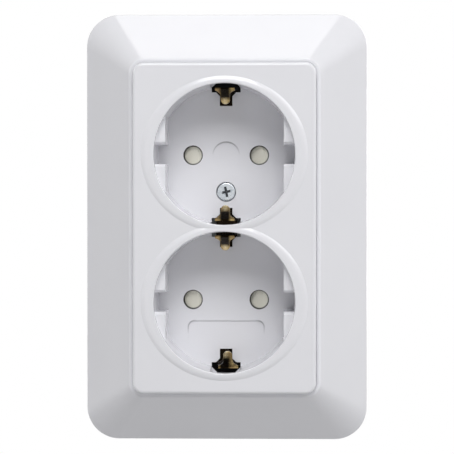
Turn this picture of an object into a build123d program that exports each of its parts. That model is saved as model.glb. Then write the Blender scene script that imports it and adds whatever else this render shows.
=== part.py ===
from build123d import *
from math import hypot, sqrt
import os

# Double socket outlet for a round wall box. All sizes are millimetres.
# Working frame: x to the right, y up, z out of the wall. The wall plane is z = 0.

# Plug wells
pin_spacing = 19.0
pin_hole_radius = 2.8
mouth_radius = 19.75
mouth_web = 1.9
well_depth = 17.5
well_taper = 0.25
well_wall = 2.0
floor_thickness = 1.3
lip_round = 0.3
ledge_reach = 3.2
ledge_drop = 2.4
groove_width = 5.5
groove_chamfer = 0.7

# Sunken marks on the well floors, deepest at their upper edge
mark_depth = 0.35
disc_mark_radius = 3.8
plate_mark_width = 21.8
plate_mark_height = 8.0
plate_mark_drop = 6.0
plate_mark_corner = 2.0

# Low domed collars, measured from the mouth to where they meet the panel
collar_side = 3.55
collar_end = 2.05
collar_height = 0.45
collar_round = 3.4

# Earth notches, measured inwards and outwards from the leg of the clip that stands in them
clip_leg_inset = 1.15
outer_neck_reach = 4.5
inner_neck_reach = 3.5
neck_width = 3.6
neck_foot_reach = 1.7
shoulder_reach = 0.6
shoulder_width = 5.8
notch_width = 8.3
outer_notch_clearance = 2.4
inner_notch_clearance = 1.75
notch_corner = 1.6
inner_notch_corner = 0.2
notch_below_lip = 1.2

# Panel of the cover
panel_side_margin = 2.3
panel_end_margin = 3.7
panel_corner = 3.0
panel_edge_round = 0.9
panel_wall = 1.8
panel_face = 2.2
skirt_depth = 12.0

# Outer frame
frame_side = 14.9
frame_end = 15.2
frame_corner = 9.3
frame_rim = 2.5
frame_rim_round = 1.0
frame_wall = 2.0
frame_gap = 0.06
frame_land = 1.2
crest_round_share = 0.45
frame_sleeve = 1.8
frame_ledge_width = 2.2
frame_ledge_thickness = 1.6
panel_proud = 3.4
rib_thickness = 1.4
rib_foot = 6.0

# Layers between the wall plane and the well floor
bracket_thickness = 1.0
strap_thickness = 0.8
deck_thickness = 1.6
shutter_thickness = 3.7
slide_clearance = 0.2
floor_clearance = 0.2

# Shutters
pad_length = 7.2
shutter_width = 7.8
shutter_rail = 1.0
shutter_travel = 6.9
ramp_depth = 1.4
ramp_flat = 2.4
spring_radius = 1.2
spring_wire = 0.32
spring_turns = 8
spring_post_offset = 4.2
spring_post_length = 1.2
spring_post_width = 3.2
spring_peg_radius = 0.6
spring_peg_length = 1.2
guide_wall = 1.2
stop_clearance = 0.4

# Insulating base
base_wall = 0.6
base_depth = 16.0
base_edge = 1.0
base_neck_width = 35.2
base_side_step = 4.4
base_end_step = 0.8
chamber_corner = 0.8
pocket_depth = 1.2
pocket_corner = 1.2
pocket_width = 9.6
pocket_pitch = 11.2
pocket_rows = ((16.0, 11.0), (1.5, 11.0), (-18.5, 7.0))
fit_clearance = 0.2

# Contact bars
bar_width = 4.0
bar_thickness = 0.8
ring_radius = 3.6
chamber_clearance = 0.3
pin_guide_radius = 2.7
jaw_radius = 2.42
jaw_flare = 0.2
jaw_wall = 0.6
jaw_depth = 12.0
jaw_waist = 8.0
jaw_slit = 0.8
jaw_slit_top = 2.0
jaw_ring_wall = 0.5
jaw_ring_height = 1.6
thread_clearance = 0.05

# Terminals
terminal_x = 14.2
terminal_y = 5.6
tab_width = 3.8
tab_overhang = 2.7
cage_length = 5.2
cage_wall = 0.8
cage_end_clearance = 0.6
cage_side_clearance = 0.4
wire_gap = 4.8
screw_space = 0.7
wire_bore_radius = 2.0
terminal_screw_radius = 1.7
terminal_head_radius = 2.7
terminal_head_height = 1.8
terminal_screw_lift = 1.0

# Earth strap and its clips
strap_width = 6.0
clip_thickness = 0.5
clip_width = 5.5
clip_bend_above_floor = 0.3
clip_corner_reach = 4.65
clip_nose_above_floor = 6.4
clip_top_reach = 0.2
clip_below_lip = 4.2
clip_bend_round = 1.8
clip_nose_round = 2.4
clip_nose_width = 2.5
clip_nose_reach = 4.3
clip_flare_reach = 2.3
clip_flare_slope = 0.4
clip_lean = 3.0
earth_terminal_drop = 10.5
earth_plate_size = 8.0
earth_plate_thickness = 1.2
earth_bore_radius = 1.7
earth_bore_x = 4.9
earth_screw_length = 8.0
earth_hole_depth = 11.6
rivet_reach = 3.7
rivet_radius = 1.2
rivet_head_radius = 2.0
rivet_head_height = 0.8
rivet_head_round = 0.4

# Mounting bracket
bracket_side_margin = 4.5
bracket_end_margin = 18.4
bracket_corner = 5.0
box_screw_spacing = 60.0
box_slot_width = 4.0
box_slot_length = 7.0
bead_inset = 5.0
bead_y = 25.0
bead_length = 24.0
bead_width = 3.2
bead_height = 0.5

# Screws
cover_screw_drop = 10.5
cover_screw_radius = 1.5
cover_screw_length = 11.6
cover_head_radius = 2.7
cover_head_height = 1.7
cover_head_sunk = 0.2
cover_screw_turn = 12.0
cross_reach = 1.5
cross_depth = 1.1
counterbore_clearance = 0.15
screw_boss_radius = 4.0
bracket_screw_reach = 2.3
bracket_screw_y = 11.5
bracket_screw_radius = 1.1
bracket_screw_length = 8.0
bracket_head_radius = 2.2
bracket_head_height = 1.3
carrier_screw_x = 13.5
carrier_screw_reach = 3.4
carrier_screw_radius = 0.9
carrier_screw_length = 7.0
carrier_head_radius = 1.8
carrier_head_height = 1.2
slot_width_share = 0.27
slot_depth_share = 0.45
head_round_share = 0.25
level_tolerance = 0.001

# Levels that follow from the layers
deck_front = bracket_thickness + deck_thickness
shutter_rear = deck_front + slide_clearance
shutter_front = shutter_rear + shutter_thickness
floor_rear = shutter_front + floor_clearance
floor_front = floor_rear + floor_thickness
lip = floor_front + well_depth
panel_front = lip - collar_height
skirt_rear = panel_front - skirt_depth
frame_crest = panel_front - panel_proud
guide_top = floor_rear - slide_clearance

# Sizes of the cover, the frame and the bracket that follow from the wells
well_spacing = 2 * mouth_radius + mouth_web
well_floor_radius = mouth_radius - well_taper
ledge_gap = 2 * (mouth_radius - ledge_reach)
clip_leg_radius = mouth_radius - clip_leg_inset
collar_half_width = mouth_radius + collar_side
collar_half_height = mouth_radius + collar_end
panel_width = 2 * (collar_half_width + panel_side_margin)
panel_height = well_spacing + 2 * (collar_half_height + panel_end_margin)
frame_width = panel_width + 2 * frame_side
frame_height = panel_height + 2 * frame_end
bracket_width = frame_width - 2 * bracket_side_margin
bracket_height = frame_height - 2 * bracket_end_margin

# Places that follow from the sizes above
well_y = well_spacing / 2
pin_x = pin_spacing / 2
collar_spread = collar_round - sqrt(collar_height * (2 * collar_round - collar_height))
opening_width = panel_width + 2 * frame_gap
opening_height = panel_height + 2 * frame_gap
opening_corner = panel_corner + frame_gap
window_length = pin_spacing - pad_length
shutter_length = pin_spacing + pad_length
guide_inner = shutter_width / 2 + slide_clearance
guide_outer = guide_inner + guide_wall
tray_left = -shutter_length / 2 - slide_clearance - guide_wall
tray_right = shutter_length / 2 + shutter_travel + stop_clearance + guide_wall
spring_axis = (shutter_rear + shutter_front) / 2
frame_crest_round = crest_round_share * frame_land
outer_neck_radius = clip_leg_radius - outer_neck_reach
inner_neck_radius = clip_leg_radius - inner_neck_reach
neck_foot_radius = clip_leg_radius - neck_foot_reach
shoulder_radius = clip_leg_radius - shoulder_reach
outer_notch_radius = clip_leg_radius + outer_notch_clearance
inner_notch_radius = clip_leg_radius + inner_notch_clearance
clip_corner_radius = clip_leg_radius - clip_corner_reach
clip_top_radius = clip_leg_radius - clip_top_reach
clip_nose_tip = clip_leg_radius - clip_nose_reach
clip_flare_start = clip_leg_radius - clip_flare_reach
chamber_half = ring_radius + chamber_clearance
base_radius = hypot(pin_x + chamber_half, well_y + chamber_half) + base_wall
base_neck_radius = base_radius - base_end_step
base_width = base_neck_width + 2 * base_side_step
bracket_screw_x = base_neck_width / 2 + bracket_screw_reach
carrier_screw_y = well_y - guide_outer - carrier_screw_reach
cover_screw_y = well_y - cover_screw_drop
earth_terminal_y = well_y - earth_terminal_drop
rivet_y = base_neck_radius + rivet_reach
bead_x = bracket_width / 2 - bead_inset
cage_rear = -wire_gap - cage_wall
cage_front = bar_thickness + screw_space + cage_wall
cage_width = tab_width + 2 * fit_clearance + 2 * cage_wall
terminal_window = (cage_length + 2 * cage_end_clearance, cage_width + 2 * cage_side_clearance)

WELLS = {"upper": well_y, "lower": -well_y}
POLES = {"live": -1, "neutral": 1}


def rounded(width, height, radius, z):
    """Rounded rectangle facing the user at depth z."""
    return Pos(0, 0, z) * RectangleRounded(width, height, radius)


def prism(width, height, radius, rear, front):
    """Rounded block between two depths."""
    return extrude(rounded(width, height, radius, rear), front - rear)


def disc(radius, x, y, rear, front):
    """Cylinder along the depth between two levels."""
    return Pos(x, y, rear) * Cylinder(radius, front - rear, align=(Align.CENTER, Align.CENTER, Align.MIN))


def block(x_from, x_to, y_from, y_to, rear, front):
    """Square-edged block given by its limits."""
    size = Box(x_to - x_from, y_to - y_from, front - rear, align=Align.MIN)
    return Pos(x_from, y_from, rear) * size


def edges_at(shape, z):
    """Edges of a shape that lie in the plane at depth z."""
    return shape.edges().filter_by_position(Axis.Z, z - level_tolerance, z + level_tolerance)


def screw(x, y, seat, head_radius, head_height, shank_radius, length, turn=0, cross_depth=0):
    """Screw whose head stands on the level seat, with a slot and, where it has a depth, a cross."""
    top = seat + head_height
    head = disc(head_radius, 0, 0, seat, top)
    head = fillet(edges_at(head, top), head_height * head_round_share)
    half_slot = head_radius * slot_width_share / 2
    slot_floor = top - head_height * slot_depth_share
    recess = block(-head_radius, head_radius, -half_slot, half_slot, slot_floor, top)
    if cross_depth:
        arm = block(-cross_reach, cross_reach, -half_slot, half_slot, top - cross_depth, top)
        recess += arm + Rot(0, 0, 90) * arm
    body = head + disc(shank_radius, 0, 0, seat - length, seat) - Rot(0, 0, turn) * recess
    return Pos(x, y, 0) * body


def cover_frame():
    """Hollow frame with sloping sides, an inner sleeve and the ledge that carries the cover."""
    crest_width = opening_width + 2 * frame_land
    crest_height = opening_height + 2 * frame_land
    run = (frame_width - crest_width) / 2
    rise = frame_crest - frame_rim
    skin = frame_wall * hypot(run, rise) / rise
    outer = prism(frame_width, frame_height, frame_corner, 0, frame_rim)
    outer += loft(
        [
            rounded(frame_width, frame_height, frame_corner, frame_rim),
            rounded(crest_width, crest_height, opening_corner + frame_land, frame_crest),
        ]
    )
    outer = fillet(edges_at(outer, frame_rim), frame_rim_round)

    sleeve_width = opening_width + 2 * frame_sleeve
    sleeve_height = opening_height + 2 * frame_sleeve
    sleeve_corner = opening_corner + frame_sleeve
    roof_drop = frame_sleeve + skin - frame_land
    roof = frame_crest - roof_drop * rise / run
    cavity = prism(frame_width - 2 * skin, frame_height - 2 * skin, frame_corner - frame_wall, 0, frame_rim)
    cavity += loft(
        [
            rounded(frame_width - 2 * skin, frame_height - 2 * skin, frame_corner - frame_wall, frame_rim),
            rounded(sleeve_width, sleeve_height, sleeve_corner, roof),
        ]
    )
    ledge_rear = skirt_rear - frame_ledge_thickness
    ribs = []
    for side in (-1, 1):
        for share in (-1, 0, 1):
            y = share * well_y
            ribs.append(Pos(side * frame_width / 2, y, 0) * Box(frame_width / 2, rib_thickness, 2 * roof))
            x = share * pin_x
            ribs.append(Pos(x, side * frame_height / 2, 0) * Box(rib_thickness, frame_height / 4, 2 * roof))
    ribs = Part() + ribs
    above_foot = prism(frame_width, frame_height, frame_corner, rib_foot, roof)
    ribs = ribs & cavity & above_foot
    ribs -= prism(opening_width, opening_height, opening_corner, 0, frame_crest)
    sleeve = prism(sleeve_width, sleeve_height, sleeve_corner, ledge_rear, roof)
    frame = outer - cavity + sleeve + ribs
    frame -= prism(opening_width, opening_height, opening_corner, skirt_rear, frame_crest)
    inset = 2 * frame_ledge_width
    frame -= prism(opening_width - inset, opening_height - inset, opening_corner, ledge_rear, frame_crest)
    return fillet(edges_at(frame, frame_crest), frame_crest_round)


def notch_outline(neck_radius, end_radius, corner):
    """Half outline of an earth notch, from the neck's end to the wall."""
    return [
        (neck_width / 2, neck_radius),
        (neck_width / 2, neck_foot_radius),
        (shoulder_width / 2, shoulder_radius),
        (notch_width / 2, shoulder_radius),
        (notch_width / 2, end_radius - corner),
        (notch_width / 2 - corner, end_radius),
    ]


def earth_notch(neck_radius, end_radius, corner):
    """Hole in the floor and recess in the wall that an earth clip stands in."""
    right = notch_outline(neck_radius, end_radius, corner)
    left = [(-x, y) for x, y in reversed(right)]
    hole = extrude(Pos(0, 0, floor_rear) * make_face(Polyline(*right, *left, close=True)), floor_thickness)
    half = notch_width / 2
    recess = block(-half, half, shoulder_radius, end_radius, floor_front, lip - notch_below_lip)
    return hole + recess


def well_void():
    """Space of one well round its own axis: bowl, ledges, grooves, pin holes and notches."""
    bowl = Pos(0, 0, floor_front) * Cone(
        well_floor_radius, mouth_radius, well_depth, align=(Align.CENTER, Align.CENTER, Align.MIN)
    )
    ledge_top = lip - ledge_drop
    half_groove = groove_width / 2
    groove_profile = Polyline(
        (-half_groove, floor_front),
        (half_groove, floor_front),
        (half_groove, ledge_top - groove_chamfer),
        (half_groove + groove_chamfer, ledge_top),
        (-half_groove - groove_chamfer, ledge_top),
        (-half_groove, ledge_top - groove_chamfer),
        close=True,
    )
    groove = extrude(Plane.YZ * make_face(groove_profile), 2 * mouth_radius, both=True)
    reach = 2 * mouth_radius
    for side in (-1, 1):
        ledge = Pos(side * (ledge_gap + reach) / 2, 0, floor_front)
        ledge *= Box(reach, reach, ledge_top - floor_front, align=(Align.CENTER, Align.CENTER, Align.MIN))
        bowl -= ledge - groove
    for side in (-1, 1):
        bowl += disc(pin_hole_radius, side * pin_x, 0, floor_rear, floor_front)
    return bowl


def floor_mark(outline, top, height):
    """Sunken mark with a given outline that runs out into the floor below its upper edge."""
    rear = floor_front - mark_depth
    slope = Polyline((top, floor_front), (top, rear), (top - height, floor_front), close=True)
    wedge = extrude(Plane.YZ * make_face(slope), plate_mark_width, both=True)
    return extrude(Pos(0, top - height / 2, rear) * outline, mark_depth) & wedge


def socket_cover():
    """One moulding: raised panel, two merged collars and two plug wells."""
    panel = prism(panel_width, panel_height, panel_corner, skirt_rear, panel_front)
    panel = fillet(edges_at(panel, panel_front), panel_edge_round)
    inset = 2 * panel_wall
    inner_corner = panel_corner - panel_wall
    inner_front = panel_front - panel_face
    panel -= prism(panel_width - inset, panel_height - inset, inner_corner, skirt_rear, inner_front)
    collar_rear = panel_front - panel_face / 2
    cover = panel
    for y in WELLS.values():
        dome = Ellipse(collar_half_width + collar_spread, collar_half_height + collar_spread)
        dome = extrude(Pos(0, y, floor_front) * dome, well_depth)
        dome = fillet(edges_at(dome, lip), collar_round)
        cover += dome & prism(panel_width, panel_height, panel_corner, collar_rear, lip)
        cover += disc(mouth_radius + well_wall, 0, y, floor_rear, collar_rear)
    cover += disc(screw_boss_radius, 0, cover_screw_y, deck_front, floor_rear + floor_thickness / 2)
    void = well_void()
    outer_notch = earth_notch(outer_neck_radius, outer_notch_radius, notch_corner)
    inner_notch = Rot(0, 0, 180) * earth_notch(inner_neck_radius, inner_notch_radius, inner_notch_corner)
    for turn in (0, 180):
        cover -= Rot(0, 0, turn) * Pos(0, well_y, 0) * (void + outer_notch + inner_notch)
    head_seat = floor_front - cover_head_sunk - cover_head_height
    cover -= disc(cover_head_radius + counterbore_clearance, 0, cover_screw_y, head_seat, floor_front)
    cover -= disc(cover_screw_radius + fit_clearance, 0, cover_screw_y, deck_front, head_seat)
    mouths = edges_at(cover, lip).filter_by(GeomType.CIRCLE)
    cover = fillet(mouths, lip_round)
    cover -= floor_mark(Circle(disc_mark_radius), well_y + disc_mark_radius, 2 * disc_mark_radius)
    plate = RectangleRounded(plate_mark_width, plate_mark_height, plate_mark_corner)
    return cover - floor_mark(plate, -well_y - plate_mark_drop, plate_mark_height)


def cover_screw():
    """Screw from the upper well's floor into the earth strap."""
    seat = floor_front - cover_head_sunk - cover_head_height
    return screw(
        0,
        cover_screw_y,
        seat,
        cover_head_radius,
        cover_head_height,
        cover_screw_radius,
        cover_screw_length,
        cover_screw_turn,
        cross_depth,
    )


def shutter(y):
    """Slider with a ramped pad behind each pin hole and an open middle."""
    half_length = shutter_length / 2
    half_width = shutter_width / 2
    slider = block(-half_length, half_length, -half_width, half_width, shutter_rear, shutter_front)
    half_window = window_length / 2
    inner = half_width - shutter_rail
    slider -= block(-half_window, half_window, -inner, inner, shutter_rear, shutter_front)
    for side in (-1, 1):
        centre = side * pin_x
        low = centre - pad_length / 2
        high = centre + pad_length / 2 - ramp_flat
        ramp_rear = shutter_front - ramp_depth
        wedge = Polyline((low, shutter_front), (low, ramp_rear), (high, shutter_front), close=True)
        slider -= extrude(Plane.XZ * make_face(wedge), inner, both=True)
    return Pos(0, y, 0) * slider


def shutter_spring(y):
    """Coil between the left pad and the post on the deck."""
    start = -window_length / 2
    length = spring_post_offset - start
    mean_radius = spring_radius - spring_wire / 2
    path = Helix(pitch=(length - spring_wire) / spring_turns, height=length - spring_wire, radius=mean_radius)
    section = Plane(origin=path @ 0, z_dir=path % 0) * RegularPolygon(spring_wire / 2, 6)
    coil = sweep(section, path=path, is_frenet=True)
    return Pos(start + spring_wire / 2, y, spring_axis) * Rot(0, 90, 0) * coil


def shutter_carrier():
    """Deck with two guide trays, spring posts and openings for what passes through it."""
    deck = block(
        -base_neck_width / 2, base_neck_width / 2, -well_y, well_y, bracket_thickness, deck_front
    )
    for y in WELLS.values():
        tray = block(tray_left, tray_right, y - guide_outer, y + guide_outer, bracket_thickness, guide_top)
        left, right = tray_left + guide_wall, tray_right - guide_wall
        tray -= block(left, right, y - guide_inner, y + guide_inner, deck_front, guide_top)
        post_right = spring_post_offset + spring_post_length
        half_post = spring_post_width / 2
        tray += block(spring_post_offset, post_right, y - half_post, y + half_post, deck_front, guide_top)
        peg = Cylinder(spring_peg_radius, spring_peg_length, align=(Align.CENTER, Align.CENTER, Align.MAX))
        tray += Pos(spring_post_offset, y, spring_axis) * Rot(0, 90, 0) * peg
        deck += tray
    for y in WELLS.values():
        for side in (-1, 1):
            deck -= disc(pin_guide_radius + chamber_clearance, side * pin_x, y, bracket_thickness, deck_front)
    half_length, half_width = terminal_window[0] / 2, terminal_window[1] / 2
    for x in (-terminal_x, terminal_x):
        for y in (-terminal_y, terminal_y):
            deck -= block(x - half_length, x + half_length, y - half_width, y + half_width, 0, deck_front)
    half_strap = strap_width / 2 + fit_clearance
    strap_top = bracket_thickness + strap_thickness + fit_clearance / 2
    deck -= block(-half_strap, half_strap, -bracket_height, bracket_height, bracket_thickness, strap_top)
    inner_clip = well_y - outer_neck_radius
    deck -= block(-half_strap, half_strap, -inner_clip, inner_clip, bracket_thickness, deck_front)
    half_plate = earth_plate_size / 2 + fit_clearance
    wires = earth_bore_x + earth_bore_radius
    low, high = -earth_terminal_y - half_plate, -earth_terminal_y + half_plate
    deck -= block(-wires, wires, low, high, bracket_thickness, deck_front)
    deck -= disc(cover_screw_radius + fit_clearance, 0, cover_screw_y, bracket_thickness, deck_front)
    for turn in (1, -1):
        deck -= disc(
            carrier_screw_radius + fit_clearance,
            turn * carrier_screw_x,
            turn * carrier_screw_y,
            bracket_thickness,
            deck_front,
        )
    return deck


def carrier_screws():
    """Two screws that hold the deck on the base."""
    return Part() + [
        screw(
            turn * carrier_screw_x,
            turn * carrier_screw_y,
            deck_front,
            carrier_head_radius,
            carrier_head_height,
            carrier_screw_radius,
            carrier_screw_length,
        )
        for turn in (1, -1)
    ]


def base_plan(radius, width):
    """Round outline with flat sides."""
    return Circle(radius) & Rectangle(width, 2 * radius)


def bar_outline(side, margin):
    """Plan of a contact bar, grown all round by margin."""
    plan = Pos(side * pin_x, 0) * Rectangle(bar_width + 2 * margin, well_spacing)
    for y in (-terminal_y, terminal_y):
        length = terminal_x + tab_overhang - pin_x
        tab = Rectangle(length + margin, tab_width + 2 * margin, align=(Align.MIN, Align.CENTER))
        plan += Pos(side * pin_x, y) * Rot(0, 0, 0 if side > 0 else 180) * tab
    for y in WELLS.values():
        plan += Pos(side * pin_x, y) * Circle(ring_radius + margin)
    return plan


def base():
    """Insulating body with chambers for the contacts, cages and wires."""
    body = extrude(base_plan(base_radius, base_width), -base_depth)
    body = chamfer(edges_at(body, -base_depth), base_edge)
    body += extrude(base_plan(base_neck_radius, base_neck_width), bracket_thickness)
    for y, height in pocket_rows:
        pocket = prism(pocket_width, height, pocket_corner, -base_depth, pocket_depth - base_depth)
        for column in (-1, 0, 1):
            body -= Pos(column * pocket_pitch, y, 0) * pocket
    chamber_floor = -jaw_depth - base_edge
    half_length, half_width = terminal_window[0] / 2, terminal_window[1] / 2
    for side in POLES.values():
        body -= extrude(bar_outline(side, fit_clearance), bracket_thickness)
        for y in WELLS.values():
            size = 2 * chamber_half
            chamber = prism(size, size, chamber_corner, chamber_floor, bracket_thickness)
            body -= Pos(side * pin_x, y, 0) * chamber
        for y in (-terminal_y, terminal_y):
            x = side * terminal_x
            body -= block(
                x - half_length,
                x + half_length,
                y - half_width,
                y + half_width,
                cage_rear - fit_clearance,
                bracket_thickness,
            )
            reach = base_width / 2 - terminal_x
            bore = Cylinder(wire_bore_radius, reach, align=(Align.CENTER, Align.CENTER, Align.MIN))
            body -= Pos(x, y, -wire_gap / 2) * Rot(0, 90 * side, 0) * bore
        x = side * earth_bore_x
        body -= disc(earth_bore_radius, x, -earth_terminal_y, -base_depth, bracket_thickness)
        for y in (-bracket_screw_y, bracket_screw_y):
            hole = bracket_screw_radius + thread_clearance
            body -= disc(hole, side * bracket_screw_x, y, -bracket_screw_length, 0)
        hole = carrier_screw_radius + thread_clearance
        x, y = side * carrier_screw_x, side * carrier_screw_y
        body -= disc(hole, x, y, -carrier_screw_length, bracket_thickness)
    body -= disc(cover_screw_radius + fit_clearance, 0, cover_screw_y, -cover_screw_length, bracket_thickness)
    earth_hole = terminal_screw_radius + fit_clearance
    body -= disc(earth_hole, 0, -earth_terminal_y, -earth_hole_depth, bracket_thickness)
    return body


def tulip():
    """Round spring contact with two slits, narrowest at its waist."""
    flare = jaw_radius + jaw_flare
    profile = Polyline(
        (pin_guide_radius, bar_thickness),
        (pin_guide_radius, 0),
        (jaw_radius, -jaw_waist),
        (flare, -jaw_depth),
        (flare + jaw_wall, -jaw_depth),
        (jaw_radius + jaw_wall, -jaw_waist),
        (pin_guide_radius + jaw_wall, 0),
        (pin_guide_radius + jaw_wall, bar_thickness),
        close=True,
    )
    body = revolve(Plane.XZ * make_face(profile), Axis.Z)
    return body - block(-ring_radius, ring_radius, -jaw_slit / 2, jaw_slit / 2, -jaw_depth, -jaw_slit_top)


def contact_bar(side):
    """Bar with a tulip for each well and two terminal tabs."""
    bar = extrude(bar_outline(side, 0), bar_thickness)
    for y in WELLS.values():
        bar -= disc(pin_guide_radius, side * pin_x, y, 0, bar_thickness)
        bar += Pos(side * pin_x, y, 0) * tulip()
    return bar


def jaw_rings():
    """Open steel rings at the waist of the tulips."""
    inner = jaw_radius + jaw_wall + thread_clearance
    half_height = jaw_ring_height / 2
    ring = disc(inner + jaw_ring_wall, 0, 0, -jaw_waist - half_height, -jaw_waist + half_height)
    ring -= disc(inner, 0, 0, -jaw_depth, 0)
    ring -= block(0, 2 * inner, -jaw_slit / 2, jaw_slit / 2, -jaw_depth, 0)
    return Part() + [
        Pos(side * pin_x, y, 0) * ring for side in POLES.values() for y in WELLS.values()
    ]


def terminal_cages(side):
    """Two box clamps on one pole's tabs."""
    cages = []
    for y in (-terminal_y, terminal_y):
        x = side * terminal_x
        half_length, half_width = cage_length / 2, cage_width / 2
        inner = half_width - cage_wall
        cage = block(x - half_length, x + half_length, y - half_width, y + half_width, cage_rear, cage_front)
        rear, front = cage_rear + cage_wall, cage_front - cage_wall
        cage -= block(x - half_length, x + half_length, y - inner, y + inner, rear, front)
        cage -= disc(terminal_screw_radius + thread_clearance, x, y, bar_thickness, cage_front)
        cages.append(cage)
    return Part() + cages


def terminal_screws(side):
    """Two screws that press on one pole's tabs."""
    seat = cage_front + terminal_screw_lift
    return Part() + [
        screw(
            side * terminal_x,
            y,
            seat,
            terminal_head_radius,
            terminal_head_height,
            terminal_screw_radius,
            seat - bar_thickness,
        )
        for y in (-terminal_y, terminal_y)
    ]


def earth_clip(root):
    """Spring clip at the top of a well, bulging towards the well's centre."""
    bend = floor_front + clip_bend_above_floor
    path = FilletPolyline(
        (clip_leg_radius, root),
        (clip_leg_radius, bend),
        (clip_corner_radius, floor_front + clip_nose_above_floor),
        (clip_top_radius, lip - clip_below_lip),
        radius=[clip_bend_round, clip_nose_round],
    )
    strip = extrude(Plane.YZ * trace(path, clip_thickness), clip_width / 2, both=True)
    half_nose = clip_nose_width / 2
    half_foot = clip_width / 2
    nose_side = clip_nose_tip + half_nose
    nose = ThreePointArc((-half_nose, nose_side), (0, clip_nose_tip), (half_nose, nose_side))
    foot_radius = clip_top_radius - clip_thickness
    right_flare = Spline(
        (half_nose, clip_flare_start), (half_foot, foot_radius), tangents=[(0, 1), (1, clip_flare_slope)]
    )
    left_flare = mirror(right_flare, Plane.YZ)
    outline = nose + Line((half_nose, nose_side), (half_nose, clip_flare_start)) + right_flare
    outline += Line((-half_nose, nose_side), (-half_nose, clip_flare_start)) + left_flare
    end = clip_leg_radius + clip_thickness
    left_foot, right_foot = (-half_foot, foot_radius), (half_foot, foot_radius)
    outline += Polyline(right_foot, (half_foot, end), (-half_foot, end), left_foot)
    return strip & extrude(make_face(outline), lip)


def earth_strap():
    """One stamped strip with a clip at the top and bottom of each well."""
    front = bracket_thickness + strap_thickness
    end = well_y + clip_leg_radius + clip_thickness / 2
    half = strap_width / 2
    strap = block(-half, half, -end, end, bracket_thickness, front)
    clip = earth_clip(bracket_thickness + strap_thickness / 2)
    leaning_clip = Pos(0, 0, front) * Rot(0, -clip_lean, 0) * Pos(0, 0, -front) * clip
    for turn, outer_clip in ((0, clip), (180, leaning_clip)):
        strap += Rot(0, 0, turn) * Pos(0, well_y, 0) * outer_clip
        strap += Rot(0, 0, turn) * Pos(0, -well_y, 0) * clip
    strap -= disc(cover_screw_radius + thread_clearance, 0, cover_screw_y, bracket_thickness, front)
    strap -= disc(terminal_screw_radius + thread_clearance, 0, -earth_terminal_y, bracket_thickness, front)
    for y in (-rivet_y, rivet_y):
        strap -= disc(rivet_radius + thread_clearance, 0, y, bracket_thickness, front)
    return strap


def strap_rivets():
    """Two flush rivets that hold the strap on the bracket."""
    front = bracket_thickness + strap_thickness
    rivets = []
    for y in (-rivet_y, rivet_y):
        head = disc(rivet_head_radius, 0, y, front, front + rivet_head_height)
        head = fillet(edges_at(head, front + rivet_head_height), rivet_head_round)
        rivets.append(head + disc(rivet_radius, 0, y, 0, front))
    return Part() + rivets


def earth_clamp_plate():
    """Square plate under the earth terminal's screw."""
    rear = bracket_thickness + strap_thickness
    half = earth_plate_size / 2
    y = -earth_terminal_y
    plate = block(-half, half, y - half, y + half, rear, rear + earth_plate_thickness)
    return plate - disc(terminal_screw_radius + fit_clearance, 0, y, rear, rear + earth_plate_thickness)


def earth_terminal_screw():
    """Screw through the clamp plate into the strap."""
    seat = bracket_thickness + strap_thickness + earth_plate_thickness
    return screw(
        0,
        -earth_terminal_y,
        seat,
        terminal_head_radius,
        terminal_head_height,
        terminal_screw_radius,
        earth_screw_length,
    )


def mounting_bracket():
    """Steel plate with a window for the base and slots for the wall box's screws."""
    plan = RectangleRounded(bracket_width, bracket_height, bracket_corner)
    plan -= base_plan(base_neck_radius + fit_clearance, base_neck_width + 2 * fit_clearance)
    for side in (-1, 1):
        plan -= Pos(side * box_screw_spacing / 2, 0) * SlotOverall(box_slot_length, box_slot_width)
        for y in (-bracket_screw_y, bracket_screw_y):
            plan -= Pos(side * bracket_screw_x, y) * Circle(bracket_screw_radius + fit_clearance)
    for y in (-rivet_y, rivet_y):
        plan -= Pos(0, y) * Circle(rivet_radius + thread_clearance)
    plate = extrude(plan, bracket_thickness)
    bead = extrude(Rot(0, 0, 90) * SlotOverall(bead_length, bead_width), bead_height)
    inset = 2 * bead_height
    hollow = Rot(0, 0, 90) * SlotOverall(bead_length - inset, bead_width - inset)
    groove = extrude(hollow, bead_height)
    for x in (-bead_x, bead_x):
        for y in (-bead_y, bead_y):
            plate += Pos(x, y, bracket_thickness) * bead
            plate -= Pos(x, y, 0) * groove
    return plate


def bracket_screws():
    """Four screws that hold the bracket on the base."""
    return Part() + [
        screw(
            side * bracket_screw_x,
            y,
            bracket_thickness,
            bracket_head_radius,
            bracket_head_height,
            bracket_screw_radius,
            bracket_screw_length,
        )
        for side in (-1, 1)
        for y in (-bracket_screw_y, bracket_screw_y)
    ]


pieces = {
    "cover_frame": cover_frame(),
    "socket_cover": socket_cover(),
    "cover_screw": cover_screw(),
    "shutter_carrier": shutter_carrier(),
    "carrier_screws": carrier_screws(),
    "base": base(),
    "jaw_rings": jaw_rings(),
    "earth_strap": earth_strap(),
    "strap_rivets": strap_rivets(),
    "earth_clamp_plate": earth_clamp_plate(),
    "earth_terminal_screw": earth_terminal_screw(),
    "mounting_bracket": mounting_bracket(),
    "bracket_screws": bracket_screws(),
}
for name, y in WELLS.items():
    pieces[f"{name}_shutter"] = shutter(y)
    pieces[f"{name}_shutter_spring"] = shutter_spring(y)
for name, side in POLES.items():
    pieces[f"{name}_contact_bar"] = contact_bar(side)
    pieces[f"{name}_terminal_cages"] = terminal_cages(side)
    pieces[f"{name}_terminal_screws"] = terminal_screws(side)

# The finished part stands upright: its front faces -Y and up is +Z.
upright = Rot(90, 0, 0)
os.makedirs("parts", exist_ok=True)
for name, shape in pieces.items():
    export_step(upright * shape, f"parts/{name}.step")
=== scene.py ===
import logging
import math
from dataclasses import dataclass, field, replace
from enum import Enum
from typing import Protocol

import bmesh
import bpy
from mathutils import Matrix, Vector


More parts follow.
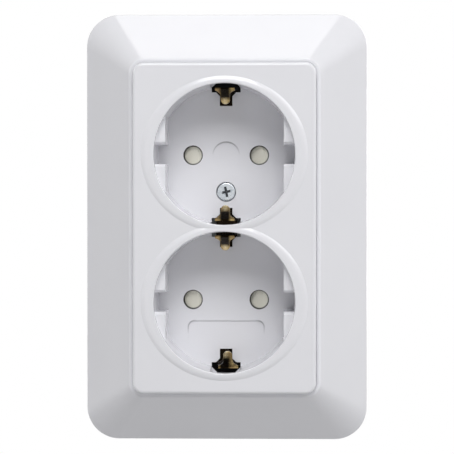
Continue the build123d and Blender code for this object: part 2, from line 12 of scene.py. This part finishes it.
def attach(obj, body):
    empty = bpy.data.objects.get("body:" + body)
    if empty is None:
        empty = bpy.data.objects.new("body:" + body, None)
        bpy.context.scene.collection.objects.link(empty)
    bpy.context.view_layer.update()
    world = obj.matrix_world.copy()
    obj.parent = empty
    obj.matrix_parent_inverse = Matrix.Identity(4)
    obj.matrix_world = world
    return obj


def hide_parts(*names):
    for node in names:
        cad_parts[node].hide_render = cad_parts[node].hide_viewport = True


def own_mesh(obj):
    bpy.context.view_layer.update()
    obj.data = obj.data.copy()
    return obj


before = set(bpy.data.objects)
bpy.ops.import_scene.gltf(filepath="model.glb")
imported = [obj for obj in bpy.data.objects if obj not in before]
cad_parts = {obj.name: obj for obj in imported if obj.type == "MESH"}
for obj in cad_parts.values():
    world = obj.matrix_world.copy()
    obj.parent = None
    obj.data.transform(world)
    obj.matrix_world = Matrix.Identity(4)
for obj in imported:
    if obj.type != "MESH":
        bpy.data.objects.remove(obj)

LOG = logging.getLogger("double_socket_outlet")
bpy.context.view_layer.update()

# Middle of a well above or below the outlet's middle, and of a pin hole beside it, in metres
WELL_HEIGHT = 0.0207
PIN_OFFSET = 0.0095

WHITE = (1.0, 1.0, 1.0, 1.0)

Colour = tuple[float, float, float]
Point = tuple[float, float, float]


class Grain(Enum):
    """Direction that drawing or brushing left its lines in, as a stretch of the pattern."""

    ALONG_X = (0.06, 1.0, 1.0)
    ALONG_Z = (1.0, 1.0, 0.06)
    NONE = (1.0, 1.0, 1.0)


class ShaderGraph:
    """Node tree of one material on the piece's Object coordinates."""

    def __init__(self, name: str) -> None:
        """Starts a material with a Principled shader.

        Args:
            name: Name of the material.
        """
        self.material = bpy.data.materials.new(name)
        self.material.use_nodes = True
        self.tree = self.material.node_tree
        self.tree.nodes.clear()
        self.output = self.add("ShaderNodeOutputMaterial")
        self.shader = self.add("ShaderNodeBsdfPrincipled")
        self.tree.links.new(self.shader.outputs["BSDF"], self.output.inputs["Surface"])
        self.place = self.add("ShaderNodeTexCoord").outputs["Object"]

    def add(self, kind: str) -> bpy.types.Node:
        """Adds a node of a kind and returns it."""
        return self.tree.nodes.new(kind)

    def link(self, source: bpy.types.NodeSocket, target: str) -> None:
        """Links an output to a named input of the Principled shader."""
        self.tree.links.new(source, self.shader.inputs[target])

    def axis(self, place: bpy.types.NodeSocket, name: str) -> bpy.types.NodeSocket:
        """Takes one axis of coordinates.

        Args:
            place: Coordinates.
            name: X, Y or Z.

        Returns:
            The value along that axis.
        """
        node = self.add("ShaderNodeSeparateXYZ")
        self.tree.links.new(place, node.inputs[0])
        return node.outputs[name]

    def vector(
        self, operation: str, first: bpy.types.NodeSocket, second: Point | None = None
    ) -> bpy.types.NodeSocket:
        """Works on coordinates.

        Args:
            operation: Name of the vector operation.
            first: Coordinates to work on.
            second: Constant of the operation, if it takes one.

        Returns:
            The result, coordinates or a value.
        """
        node = self.add("ShaderNodeVectorMath")
        node.operation = operation
        self.tree.links.new(first, node.inputs[0])
        if second is not None:
            node.inputs[1].default_value = second
        return node.outputs["Value" if operation in ("LENGTH", "DISTANCE") else "Vector"]

    def product(
        self, first: bpy.types.NodeSocket, second: bpy.types.NodeSocket
    ) -> bpy.types.NodeSocket:
        """Multiplies two values.

        Args:
            first: One value.
            second: The other value.

        Returns:
            Their product.
        """
        node = self.add("ShaderNodeMath")
        node.operation = "MULTIPLY"
        self.tree.links.new(first, node.inputs[0])
        self.tree.links.new(second, node.inputs[1])
        return node.outputs[0]

    def gap(self, value: bpy.types.NodeSocket, level: float) -> bpy.types.NodeSocket:
        """Finds how far a value lies from a level, on either side.

        Args:
            value: Value to compare.
            level: Level that gives zero.

        Returns:
            The distance between them.
        """
        offset = self.add("ShaderNodeMath")
        offset.operation = "SUBTRACT"
        offset.inputs[1].default_value = level
        self.tree.links.new(value, offset.inputs[0])
        size = self.add("ShaderNodeMath")
        size.operation = "ABSOLUTE"
        self.tree.links.new(offset.outputs[0], size.inputs[0])
        return size.outputs[0]

    def stretched(self, scale: Point) -> bpy.types.NodeSocket:
        """Stretches the coordinates.

        Args:
            scale: Factor along each axis.

        Returns:
            The stretched coordinates.
        """
        mapping = self.add("ShaderNodeMapping")
        mapping.inputs["Scale"].default_value = scale
        self.tree.links.new(self.place, mapping.inputs["Vector"])
        return mapping.outputs["Vector"]

    def noise(
        self, size: float, detail: float, place: bpy.types.NodeSocket | None = None
    ) -> bpy.types.NodeSocket:
        """Adds a noise pattern.

        Args:
            size: Size of one feature in metres.
            detail: Octaves of finer noise.
            place: Coordinates, or None for the piece's own.

        Returns:
            The pattern's value.
        """
        node = self.add("ShaderNodeTexNoise")
        node.inputs["Scale"].default_value = 1.0 / size
        node.inputs["Detail"].default_value = detail
        self.tree.links.new(place or self.place, node.inputs["Vector"])
        return node.outputs["Fac"]

    def spread(
        self,
        value: bpy.types.NodeSocket,
        low: float,
        high: float,
        start: float = 0.3,
        end: float = 0.7,
    ) -> bpy.types.NodeSocket:
        """Maps a value to a range, held at its ends. The usual noise lies between 0.3 and 0.7.

        Args:
            value: Value to map.
            low: Result at start.
            high: Result at end.
            start: Value that gives low.
            end: Value that gives high.

        Returns:
            The mapped value.
        """
        node = self.add("ShaderNodeMapRange")
        node.inputs["From Min"].default_value = start
        node.inputs["From Max"].default_value = end
        node.inputs["To Min"].default_value = low
        node.inputs["To Max"].default_value = high
        self.tree.links.new(value, node.inputs["Value"])
        return node.outputs["Result"]

    def blend(
        self, share: bpy.types.NodeSocket, first: Colour | bpy.types.NodeSocket, second: Colour
    ) -> bpy.types.NodeSocket:
        """Mixes two colours.

        Args:
            share: Share of the second colour.
            first: Colour, or the output of another mix.
            second: Colour at a share of one.

        Returns:
            The mixed colour.
        """
        node = self.add("ShaderNodeMix")
        node.data_type = "RGBA"
        colours = [socket for socket in node.inputs if socket.type == "RGBA"]
        if isinstance(first, bpy.types.NodeSocket):
            self.tree.links.new(first, colours[0])
        else:
            colours[0].default_value = (*first, 1.0)
        colours[1].default_value = (*second, 1.0)
        self.tree.links.new(share, node.inputs["Factor"])
        return next(socket for socket in node.outputs if socket.type == "RGBA")

    def relief(self, height: bpy.types.NodeSocket, depth: float, strength: float) -> None:
        """Gives the surface a fine relief.

        Args:
            height: Pattern of the relief.
            depth: Depth in metres.
            strength: Share of the relief that shows.
        """
        node = self.add("ShaderNodeBump")
        node.inputs["Distance"].default_value = depth
        node.inputs["Strength"].default_value = strength
        self.tree.links.new(height, node.inputs["Height"])
        self.link(node.outputs["Normal"], "Normal")


class Finish(Protocol):
    """Anything that makes a material of its own name."""

    @property
    def name(self) -> str:
        """Name of the material."""
        ...

    def material(self) -> bpy.types.Material:
        """Makes the material."""
        ...


class Palette:
    """Materials made so far, one for each finish."""

    def __init__(self) -> None:
        """Starts with no material."""
        self.made: dict[str, bpy.types.Material] = {}

    def material(self, finish: Finish) -> bpy.types.Material:
        """Makes a finish's material at its first use.

        Args:
            finish: Finish to use.

        Returns:
            The material that all pieces in this finish share.
        """
        if finish.name not in self.made:
            self.made[finish.name] = finish.material()
        return self.made[finish.name]


@dataclass(frozen=True)
class HoleRimShade:
    """Painted shade: dark rings where the rims of mirrored pairs of holes shade a surface."""

    colour: Colour
    across: float
    up: float
    unshaded_radius: float
    shaded_radius: float

    def share(self, graph: ShaderGraph) -> bpy.types.NodeSocket:
        """Finds how far the painted shade covers each place.

        Args:
            graph: Graph of the surface.

        Returns:
            Zero in the middle of a hole, one at its rim.
        """
        mirrored = graph.vector("ABSOLUTE", graph.place)
        flat = graph.vector("MULTIPLY", mirrored, (1.0, 0.0, 1.0))
        reach = graph.vector("DISTANCE", flat, (self.across, 0.0, self.up))
        return graph.spread(reach, 0.0, 1.0, self.unshaded_radius, self.shaded_radius)


@dataclass(frozen=True)
class CreaseShade:
    """Painted shade in a line along the upper edge of a sunken mark with round corners."""

    colour: Colour
    centre: Point
    half_size: Point
    corner: float
    half_width: float
    from_side: float = 0.0

    def share(self, graph: ShaderGraph) -> bpy.types.NodeSocket:
        """Finds how far the painted shade covers each place.

        Args:
            graph: Graph of the surface.

        Returns:
            One on the top of the mark's edge, fading to zero beside it and downwards. With a
            from_side, the straight part nearer to the middle than that stays unshaded.
        """
        core = tuple(max(half - self.corner, 0.0) for half in self.half_size)
        offset = graph.vector("ABSOLUTE", graph.vector("SUBTRACT", graph.place, self.centre))
        flat = graph.vector("MULTIPLY", offset, (1.0, 0.0, 1.0))
        outside = graph.vector("MAXIMUM", graph.vector("SUBTRACT", flat, core), (0.0, 0.0, 0.0))
        apart = graph.gap(graph.vector("LENGTH", outside), self.corner)
        line = graph.spread(apart, 1.0, 0.0, 0.0, self.half_width)
        middle = self.centre[2]
        height = graph.axis(graph.place, "Z")
        share = graph.product(
            line, graph.spread(height, 0.0, 1.0, middle, middle + self.half_size[2])
        )
        if self.from_side:
            side = graph.axis(offset, "X")
            outer = graph.spread(side, 0.0, 1.0, self.from_side, self.from_side + self.corner)
            share = graph.product(share, outer)
        return share


@dataclass(frozen=True)
class MouldedPlastic:
    """Moulded plastic with faint flow marks, handling smears and a fine skin."""

    name: str
    colour: Colour
    shade: Colour
    roughness: float
    painted_shades: tuple[HoleRimShade | CreaseShade, ...] = ()
    smear: float = 0.05
    flow_size: float = 0.022
    flow_detail: float = 3.0
    smear_size: float = 0.006
    smear_detail: float = 4.0
    skin_size: float = 0.0007
    skin_detail: float = 1.0
    skin_depth: float = 0.00001
    skin_strength: float = 0.12
    refraction: float = 1.5

    def material(self) -> bpy.types.Material:
        """Makes the plastic's material.

        Returns:
            The material.
        """
        graph = ShaderGraph(self.name)
        flow = graph.spread(graph.noise(self.flow_size, self.flow_detail), 0.0, 1.0)
        colour = graph.blend(flow, self.colour, self.shade)
        # Lays any painted shade over the plastic's colour.
        for shade_mark in self.painted_shades:
            colour = graph.blend(shade_mark.share(graph), colour, shade_mark.colour)
        graph.link(colour, "Base Color")
        smears = graph.noise(self.smear_size, self.smear_detail)
        dull, shiny = self.roughness + self.smear, self.roughness - self.smear
        graph.link(graph.spread(smears, shiny, dull), "Roughness")
        skin = graph.noise(self.skin_size, self.skin_detail)
        graph.relief(skin, self.skin_depth, self.skin_strength)
        graph.shader.inputs["IOR"].default_value = self.refraction
        return graph.material


@dataclass(frozen=True)
class SpeckledThermoset:
    """Pressed insulating resin with mineral specks."""

    name: str
    colour: Colour
    speck: Colour
    roughness: float
    speck_size: float = 0.0009
    speck_detail: float = 5.0
    speck_share: float = 0.35
    speck_start: float = 0.52
    speck_end: float = 0.66
    wear: float = 0.1
    wear_size: float = 0.0108
    wear_detail: float = 4.0
    pit_size: float = 0.00045
    pit_detail: float = 2.0
    pit_depth: float = 0.00003
    pit_strength: float = 0.35

    def material(self) -> bpy.types.Material:
        """Makes the resin's material.

        Returns:
            The material.
        """
        graph = ShaderGraph(self.name)
        pattern = graph.noise(self.speck_size, self.speck_detail)
        specks = graph.spread(pattern, 0.0, self.speck_share, self.speck_start, self.speck_end)
        graph.link(graph.blend(specks, self.colour, self.speck), "Base Color")
        worn = graph.noise(self.wear_size, self.wear_detail)
        dull, shiny = self.roughness + self.wear, self.roughness - self.wear
        graph.link(graph.spread(worn, shiny, dull), "Roughness")
        pits = graph.noise(self.pit_size, self.pit_detail)
        graph.relief(pits, self.pit_depth, self.pit_strength)
        return graph.material


@dataclass(frozen=True)
class DepthShade:
    """Painted shade that darkens a metal between two depths, measured along Y.

    With a spared_to, it fades out from one distance to another from the middle plane.
    """

    colour: Colour
    unshaded_at: float
    shaded_at: float
    spared_from: float = 0.0
    spared_to: float = 0.0

    def share(self, graph: ShaderGraph) -> bpy.types.NodeSocket:
        """Finds how far the painted shade covers each place.

        Args:
            graph: Graph of the metal.

        Returns:
            Zero where the metal keeps its colour, one where it is fully shaded.
        """
        depth = graph.axis(graph.place, "Y")
        share = graph.spread(depth, 0.0, 1.0, self.unshaded_at, self.shaded_at)
        if self.spared_to:
            side = graph.axis(graph.vector("ABSOLUTE", graph.place), "X")
            kept_in = graph.spread(side, 1.0, 0.0, self.spared_from, self.spared_to)
            share = graph.product(share, kept_in)
        return share


@dataclass(frozen=True)
class HighlightAndWearLine:
    """Painted highlight in a bright line along the middle of the spring clips, where plugs also
    rub the brass bright.
    """

    colour: Colour
    brightest_at: float
    faded_at: float

    def share(self, graph: ShaderGraph) -> bpy.types.NodeSocket:
        """Finds how far each place is brightened.

        Args:
            graph: Graph of the metal.

        Returns:
            One on the middle line, zero beyond faded_at.
        """
        side = graph.axis(graph.vector("ABSOLUTE", graph.place), "X")
        return graph.spread(side, 1.0, 0.0, self.brightest_at, self.faded_at)


@dataclass(frozen=True)
class WorkedMetal:
    """Stamped, drawn or plated metal with lines of the tool and tarnish in patches."""

    name: str
    colour: Colour
    tarnish: Colour
    roughness: float
    grain: Grain = Grain.NONE
    tarnish_share: float = 0.5
    tarnish_size: float = 0.004
    painted_light: tuple[DepthShade | HighlightAndWearLine, ...] = ()
    tarnish_detail: float = 4.0
    tarnish_start: float = 0.42
    tarnish_end: float = 0.68
    line_size: float = 0.00035
    line_detail: float = 3.0
    line_depth: float = 0.00001
    line_strength: float = 0.3
    polish: float = 0.08
    scuff: float = 0.12

    def material(self) -> bpy.types.Material:
        """Makes the metal's material.

        Returns:
            The material.
        """
        graph = ShaderGraph(self.name)
        pattern = graph.noise(self.tarnish_size, self.tarnish_detail)
        patches = graph.spread(
            pattern, 0.0, self.tarnish_share, self.tarnish_start, self.tarnish_end
        )
        colour = graph.blend(patches, self.colour, self.tarnish)
        # Lays painted shade and painted highlights over the metal's colour.
        for light_mark in self.painted_light:
            colour = graph.blend(light_mark.share(graph), colour, light_mark.colour)
        graph.link(colour, "Base Color")
        stretched = graph.stretched(self.grain.value)
        lines = graph.noise(self.line_size, self.line_detail, stretched)
        dull, shiny = self.roughness + self.scuff, self.roughness - self.polish
        graph.link(graph.spread(lines, shiny, dull), "Roughness")
        graph.relief(lines, self.line_depth, self.line_strength)
        graph.shader.inputs["Metallic"].default_value = 1.0
        return graph.material


WHITE_PLASTIC = MouldedPlastic(
    name="white_gloss_plastic",
    colour=(0.797, 0.797, 0.830),
    shade=(0.782, 0.782, 0.816),
    roughness=0.17,
)
# Painted shade along the upper edges of the sunken disc and plate marks on the well floors.
DISC_MARK_SHADE = CreaseShade(
    colour=(0.40, 0.40, 0.42),
    centre=(0.0, 0.0, WELL_HEIGHT),
    half_size=(0.0038, 0.0, 0.0038),
    corner=0.0038,
    half_width=0.0003,
)
PLATE_MARK_SHADE = CreaseShade(
    colour=(0.32, 0.32, 0.34),
    centre=(0.0, 0.0, -0.0307),
    half_size=(0.0109, 0.0, 0.0040),
    corner=0.0020,
    half_width=0.0003,
    from_side=0.0082,
)
COVER_PLASTIC = replace(
    WHITE_PLASTIC, name="white_cover_plastic", painted_shades=(DISC_MARK_SHADE, PLATE_MARK_SHADE)
)
# Painted shade: dark rings round the pin holes on the shutters, where the hole rims shade them.
PIN_HOLE_SHADE_RINGS = HoleRimShade(
    colour=(0.05, 0.05, 0.045),
    across=PIN_OFFSET,
    up=WELL_HEIGHT,
    unshaded_radius=0.00233,
    shaded_radius=0.00262,
)
CREAM_PLASTIC = MouldedPlastic(
    name="cream_shutter_plastic",
    colour=(0.94, 0.92, 0.81),
    shade=(0.89, 0.87, 0.75),
    roughness=0.38,
    painted_shades=(PIN_HOLE_SHADE_RINGS,),
)
GREY_RESIN = SpeckledThermoset(
    name="grey_resin", colour=(0.36, 0.37, 0.38), speck=(0.62, 0.62, 0.60), roughness=0.5
)
# Painted highlight along the middle of the clips, where plugs also rub the brass bright.
CLIP_HIGHLIGHT_AND_POLISH = HighlightAndWearLine(colour=(0.90, 0.74, 0.42), brightest_at=0.0002, faded_at=0.0009)
# Painted shade, near black, on the middle of the clips' free ends; their edges keep the brass
# colour.
CLIP_TIP_SHADE = DepthShade(
    colour=(0.014, 0.009, 0.004),
    unshaded_at=-0.0170,
    shaded_at=-0.0184,
    spared_from=0.0010,
    spared_to=0.0018,
)
# Painted shade, near black, on the strap where it lies deep behind the wells.
STRAP_DEPTH_SHADE = DepthShade(
    colour=(0.020, 0.014, 0.009), unshaded_at=-0.0136, shaded_at=-0.0105
)
STRAP_BRASS = WorkedMetal(
    name="strap_brass",
    colour=(0.66, 0.49, 0.21),
    tarnish=(0.30, 0.19, 0.09),
    roughness=0.2,
    grain=Grain.ALONG_Z,
    tarnish_share=0.8,
    tarnish_size=0.0025,
    painted_light=(CLIP_HIGHLIGHT_AND_POLISH, CLIP_TIP_SHADE, STRAP_DEPTH_SHADE),
)
BAR_BRASS = WorkedMetal(
    name="bar_brass",
    colour=(0.72, 0.52, 0.22),
    tarnish=(0.42, 0.26, 0.11),
    roughness=0.26,
    grain=Grain.ALONG_Z,
)
ZINC_PLATE = WorkedMetal(
    name="zinc_plate",
    colour=(0.68, 0.70, 0.72),
    tarnish=(0.52, 0.55, 0.58),
    roughness=0.3,
    grain=Grain.ALONG_X,
    tarnish_share=0.6,
    tarnish_size=0.008,
)
# Painted shade, near black, over the mounting plate's whole front face, seen through the earth
# notches.
FRONT_PLATE_SHADE = DepthShade(
    colour=(0.012, 0.012, 0.013), unshaded_at=-0.0008, shaded_at=-0.00095
)
FRONT_SHADED_PLATE = replace(ZINC_PLATE, name="front_shaded_plate", painted_light=(FRONT_PLATE_SHADE,))
SCREW_ZINC = WorkedMetal(
    name="screw_zinc",
    colour=(0.74, 0.76, 0.78),
    tarnish=(0.50, 0.54, 0.60),
    roughness=0.24,
    tarnish_share=0.4,
    tarnish_size=0.0015,
)
# Painted shade in the cover screw's recess, darker with depth and kept to the middle, so the
# slot's ends stay bright.
RECESS_SHADE = DepthShade(
    colour=(0.060, 0.064, 0.070),
    unshaded_at=-0.0077,
    shaded_at=-0.0073,
    spared_from=0.0010,
    spared_to=0.0014,
)
COVER_SCREW_ZINC = WorkedMetal(
    name="cover_screw_zinc",
    colour=(0.56, 0.59, 0.62),
    tarnish=(0.36, 0.40, 0.45),
    roughness=0.22,
    tarnish_size=0.0012,
    painted_light=(RECESS_SHADE,),
)
SPRING_STEEL = WorkedMetal(
    name="spring_steel",
    colour=(0.50, 0.50, 0.51),
    tarnish=(0.30, 0.29, 0.28),
    roughness=0.28,
    grain=Grain.ALONG_X,
)


@dataclass
class SubAssembly:
    """Group of pieces that belong together, each CAD node with its finish."""

    name: str
    finishes: dict[str, Finish]

    def dress(self, palette: Palette) -> None:
        """Gives each CAD node of the group its material.

        Args:
            palette: Materials made so far.
        """
        for node, finish in self.finishes.items():
            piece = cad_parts[node]
            piece.data.materials.clear()
            piece.data.materials.append(palette.material(finish))
            LOG.info("%s: %s in %s", self.name, node, finish.name)

    def build(self, palette: Palette) -> None:
        """Builds the group, which has only CAD nodes unless its class adds meshes."""
        self.dress(palette)


@dataclass
class FrontCover(SubAssembly):
    """Outer frame, twin-well cover and its screw."""

    name: str = "front cover"
    finishes: dict[str, Finish] = field(
        default_factory=lambda: {
            "cover_frame": WHITE_PLASTIC,
            "socket_cover": COVER_PLASTIC,
            "cover_screw": COVER_SCREW_ZINC,
        }
    )


@dataclass
class ReturnSpring:
    """Coil that a shutter shortens against the post on the deck."""

    node: str
    joint: str
    height: float
    wire_radius: float = 0.00016
    mean_radius: float = 0.00104
    turns: int = 8
    steps_a_turn: int = 24
    wire_sides: int = 8
    free_end: float = -0.0059
    fixed_end: float = 0.0042
    depth: float = -0.00465
    travel: float = 0.0069
    finish: Finish = SPRING_STEEL

    @property
    def length(self) -> float:
        """Length of the wire's middle line along the coil."""
        return self.fixed_end - self.free_end - 2.0 * self.wire_radius

    def wind(self, name: str) -> bpy.types.Mesh:
        """Winds the wire round the coil's axis.

        Args:
            name: Name of the mesh.

        Returns:
            The closed coil.
        """
        shape = bmesh.new()
        section = bmesh.ops.create_circle(
            shape, segments=self.wire_sides, radius=self.wire_radius
        )["verts"]
        upright = Matrix.Rotation(math.pi / 2.0, 4, "X")
        start = self.free_end + self.wire_radius
        seat = Matrix.Translation((start, self.depth, self.height + self.mean_radius))
        bmesh.ops.transform(shape, matrix=seat @ upright, verts=section)
        bmesh.ops.contextual_create(shape, geom=section)
        steps = self.turns * self.steps_a_turn
        bmesh.ops.spin(
            shape,
            geom=shape.verts[:] + shape.edges[:] + shape.faces[:],
            cent=(start, self.depth, self.height),
            axis=(1.0, 0.0, 0.0),
            dvec=(self.length / steps, 0.0, 0.0),
            angle=2.0 * math.pi * self.turns,
            steps=steps,
        )
        bmesh.ops.recalc_face_normals(shape, faces=shape.faces)
        for face in shape.faces:
            face.smooth = len(face.verts) < self.wire_sides
        mesh = bpy.data.meshes.new(name)
        shape.to_mesh(mesh)
        shape.free()
        return mesh

    def build(self, palette: Palette) -> None:
        """Stands the coil in for its node.

        Args:
            palette: Materials made so far.
        """
        name = f"{self.node}_coil"
        mesh = self.wind(name)
        mesh.materials.append(palette.material(self.finish))
        coil = bpy.data.objects.new(name, mesh)
        bpy.context.scene.collection.objects.link(coil)
        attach(coil, "outlet")
        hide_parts(self.node)
        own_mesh(coil)
        LOG.info("spring: %s in %s", name, self.finish.name)


@dataclass
class ShutterDeck(SubAssembly):
    """Deck with its screws, the shutters and their springs."""

    name: str = "shutter deck"
    finishes: dict[str, Finish] = field(
        default_factory=lambda: {
            "shutter_carrier": GREY_RESIN,
            "carrier_screws": SCREW_ZINC,
            "upper_shutter": CREAM_PLASTIC,
            "lower_shutter": CREAM_PLASTIC,
        }
    )
    springs: tuple[ReturnSpring, ...] = (
        ReturnSpring("upper_shutter_spring", "upper_shutter_slide", WELL_HEIGHT),
        ReturnSpring("lower_shutter_spring", "lower_shutter_slide", -WELL_HEIGHT),
    )

    def build(self, palette: Palette) -> None:
        """Dresses the deck and the shutters, and builds the springs.

        Args:
            palette: Materials made so far.
        """
        self.dress(palette)
        for spring in self.springs:
            spring.build(palette)


@dataclass
class CurrentPath(SubAssembly):
    """Contact bars with their rings and terminals."""

    name: str = "current path"
    finishes: dict[str, Finish] = field(
        default_factory=lambda: {
            "live_contact_bar": BAR_BRASS,
            "neutral_contact_bar": BAR_BRASS,
            "jaw_rings": SPRING_STEEL,
            "live_terminal_cages": ZINC_PLATE,
            "neutral_terminal_cages": ZINC_PLATE,
            "live_terminal_screws": SCREW_ZINC,
            "neutral_terminal_screws": SCREW_ZINC,
        }
    )


@dataclass
class EarthPath(SubAssembly):
    """Earth strap with its clips, rivets and terminal."""

    name: str = "earth path"
    finishes: dict[str, Finish] = field(
        default_factory=lambda: {
            "earth_strap": STRAP_BRASS,
            "strap_rivets": BAR_BRASS,
            "earth_clamp_plate": ZINC_PLATE,
            "earth_terminal_screw": SCREW_ZINC,
        }
    )


@dataclass
class WallCarrier(SubAssembly):
    """Insulating base and the plate that screws to the wall box."""

    name: str = "wall carrier"
    finishes: dict[str, Finish] = field(
        default_factory=lambda: {
            "base": GREY_RESIN,
            "mounting_bracket": FRONT_SHADED_PLATE,
            "bracket_screws": SCREW_ZINC,
        }
    )


@dataclass(frozen=True)
class Softbox:
    """Square studio lamp that points at the outlet."""

    name: str
    place: Point
    power: float
    side: float = 0.45

    def hang(self) -> None:
        """Adds the lamp to the scene."""
        lamp = bpy.data.lights.new(self.name, "AREA")
        lamp.shape = "SQUARE"
        lamp.size = self.side
        lamp.energy = self.power
        holder = bpy.data.objects.new(self.name, lamp)
        holder.location = self.place
        holder.rotation_euler = (-Vector(self.place)).to_track_quat("-Z", "Y").to_euler()
        bpy.context.scene.collection.objects.link(holder)


def open_rays(tree: bpy.types.NodeTree) -> bpy.types.NodeSocket:
    """Picks the rays that see plain white: camera, glossy and transmission rays.

    Args:
        tree: Node tree to add to.

    Returns:
        One for those rays, else zero.
    """
    path = tree.nodes.new("ShaderNodeLightPath")
    share = path.outputs["Is Camera Ray"]
    for ray in ("Is Glossy Ray", "Is Transmission Ray"):
        either = tree.nodes.new("ShaderNodeMath")
        either.operation = "MAXIMUM"
        tree.links.new(share, either.inputs[0])
        tree.links.new(path.outputs[ray], either.inputs[1])
        share = either.outputs[0]
    return share


@dataclass
class Studio:
    """Pale floor, white surround, soft lamps and the camera."""

    floor_level: float = -0.10
    floor_radius: float = 3.0
    floor_sides: int = 96
    floor_colour: Colour = (0.63, 0.63, 0.63)
    floor_patch_tone: float = 0.97
    floor_patch_size: float = 0.05
    floor_patch_detail: float = 3.0
    floor_roughness: float = 0.7
    shadow_reach: tuple[float, float] = (0.15, 0.25)
    ambient: float = 0.04
    distance: float = 0.583
    azimuth: float = 1.75
    elevation: float = 0.9
    focal_length: float = 159.0
    sensor: float = 36.0
    near_limit: float = 0.01
    lamps: tuple[Softbox, ...] = (
        Softbox("top_softbox", (0.0, -0.74, 0.67), power=5.2),
        Softbox("key_softbox", (0.55, -0.65, 0.53), power=2.25),
        Softbox("overhead_softbox", (0.0, 0.26, 0.97), power=1.1),
        Softbox("left_softbox", (-0.90, -0.16, 0.41), power=2.25),
        Softbox("right_softbox", (0.90, -0.16, 0.41), power=1.9),
        Softbox("rear_softbox", (0.55, 0.78, 0.30), power=3.6, side=0.90),
    )

    def surround(self) -> None:
        """Makes a world that is white to look at and a soft fill to light with."""
        world = bpy.data.worlds.new("surround")
        world.use_nodes = True
        tree = world.node_tree
        tree.nodes.clear()
        fill = tree.nodes.new("ShaderNodeBackground")
        fill.inputs["Color"].default_value = WHITE
        fill.inputs["Strength"].default_value = self.ambient
        white = tree.nodes.new("ShaderNodeBackground")
        white.inputs["Color"].default_value = WHITE
        mix = tree.nodes.new("ShaderNodeMixShader")
        output = tree.nodes.new("ShaderNodeOutputWorld")
        tree.links.new(open_rays(tree), mix.inputs[0])
        tree.links.new(fill.outputs[0], mix.inputs[1])
        tree.links.new(white.outputs[0], mix.inputs[2])
        tree.links.new(mix.outputs[0], output.inputs["Surface"])
        bpy.context.scene.world = world

    def floor_material(self) -> bpy.types.Material:
        """Makes the floor's finish: pale near the outlet, white to look at further off.

        Returns:
            The material.
        """
        graph = ShaderGraph("pale_floor")
        graph.shader.inputs["Roughness"].default_value = self.floor_roughness
        pattern = graph.noise(self.floor_patch_size, self.floor_patch_detail)
        darker = tuple(self.floor_patch_tone * part for part in self.floor_colour)
        tint = graph.blend(graph.spread(pattern, 0.0, 1.0), self.floor_colour, darker)
        graph.link(tint, "Base Color")
        radius = graph.vector("LENGTH", graph.place)
        far = graph.spread(radius, 0.0, 1.0, *self.shadow_reach)
        white = graph.add("ShaderNodeEmission")
        mix = graph.add("ShaderNodeMixShader")
        graph.tree.links.new(graph.product(far, open_rays(graph.tree)), mix.inputs[0])
        graph.tree.links.new(graph.shader.outputs["BSDF"], mix.inputs[1])
        graph.tree.links.new(white.outputs[0], mix.inputs[2])
        graph.tree.links.new(mix.outputs[0], graph.output.inputs["Surface"])
        return graph.material

    def lay_floor(self) -> None:
        """Lays the round floor below the outlet."""
        mesh = bpy.data.meshes.new("floor")
        shape = bmesh.new()
        bmesh.ops.create_circle(
            shape, cap_ends=True, segments=self.floor_sides, radius=self.floor_radius
        )
        bmesh.ops.translate(shape, verts=shape.verts, vec=(0.0, 0.0, self.floor_level))
        shape.to_mesh(mesh)
        shape.free()
        floor = bpy.data.objects.new("floor", mesh)
        bpy.context.scene.collection.objects.link(floor)
        mesh.materials.append(self.floor_material())

    def set_camera(self) -> None:
        """Stands the camera straight in front, a little to the right and above."""
        camera = bpy.data.cameras.new("camera")
        camera.lens = self.focal_length
        camera.sensor_width = self.sensor
        camera.clip_start = self.near_limit
        holder = bpy.data.objects.new("camera", camera)
        turn, lift = math.radians(self.azimuth), math.radians(self.elevation)
        level = math.cos(lift)
        place = Vector((math.sin(turn) * level, -math.cos(turn) * level, math.sin(lift)))
        holder.location = place * self.distance
        holder.rotation_euler = (-place).to_track_quat("-Z", "Y").to_euler()
        bpy.context.scene.collection.objects.link(holder)
        bpy.context.scene.camera = holder

    def set_up(self) -> None:
        """Builds the whole studio."""
        bpy.context.scene.view_settings.view_transform = "Standard"
        self.surround()
        self.lay_floor()
        for lamp in self.lamps:
            lamp.hang()
        self.set_camera()
        LOG.info("studio: floor, surround, lamps and camera")


def main() -> None:
    """Builds the sub-assemblies in order, then the studio."""
    logging.basicConfig(level=logging.INFO, format="%(message)s")
    palette = Palette()
    for group in (FrontCover(), ShutterDeck(), CurrentPath(), EarthPath(), WallCarrier()):
        group.build(palette)
    Studio().set_up()


if __name__ == "__main__":
    main()
